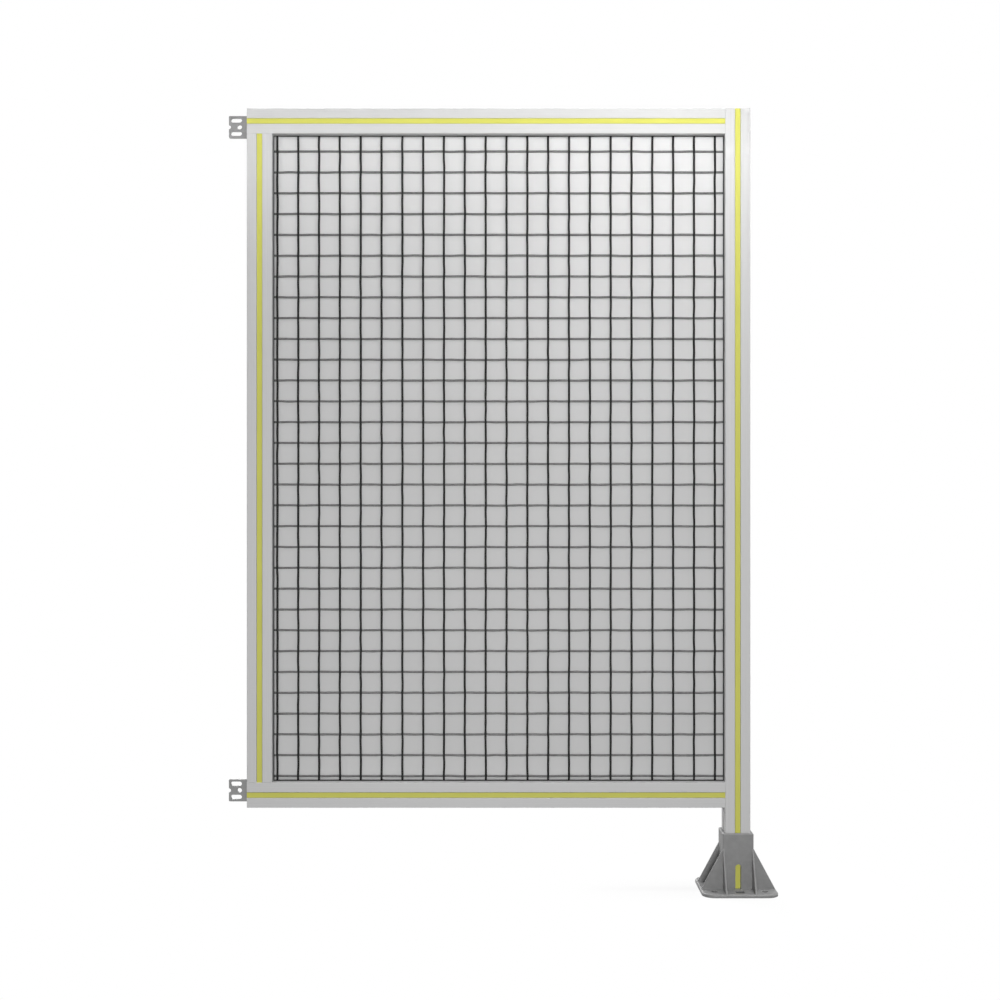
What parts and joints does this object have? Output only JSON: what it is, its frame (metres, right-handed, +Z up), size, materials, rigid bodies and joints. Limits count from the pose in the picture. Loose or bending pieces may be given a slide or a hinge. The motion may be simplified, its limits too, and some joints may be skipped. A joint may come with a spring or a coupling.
{
  "type": "machine guard fence panel",
  "caption": "Machine guard fence panel: T-slot profile frame with welded wire mesh and a cast foot under one post, and two connecting plates at the other end.",
  "frame": {"origin": "middle of the foot's underside, on the post's axis, at floor level", "axes": "+Z up along the post, -X along the panel towards the connecting plates, -Y the front face with the cover strips"},
  "size_m": [0.985, 0.135, 1.4],
  "materials": {
    "profile": "natural anodised, satin",
    "cover_strip": "pale yellow extruded plastic",
    "wire": "dark grey galvanised wire",
    "infill": "light grey satin sheet",
    "edging": "black matt rubber",
    "foot_casting": "grey powder-coated die casting",
    "plate_casting": "blasted die casting",
    "fasteners": "zinc plated"
  },
  "bodies": {
    "root": {"post": "profile", "top_rail": "profile", "bottom_rail": "profile", "left_stile": "profile", "post_cover_front": "cover_strip", "top_cover_front": "cover_strip", "bottom_cover_front": "cover_strip", "stile_cover_front": "cover_strip", "post_cover_back": "cover_strip", "top_cover_back": "cover_strip", "bottom_cover_back": "cover_strip", "stile_cover_back": "cover_strip", "wire_mesh_lower": "wire", "wire_mesh_upper": "wire", "infill_sheet": "infill", "top_edging": "edging", "bottom_edging": "edging", "left_edging": "edging", "right_edging": "edging", "foot": "foot_casting", "foot_screw": "fasteners", "top_plate": "plate_casting", "bottom_plate": "plate_casting", "top_plate_screw": "fasteners", "bottom_plate_screw": "fasteners", "top_slot_nut": "fasteners", "bottom_slot_nut": "fasteners"}
  },
  "joints": []
}
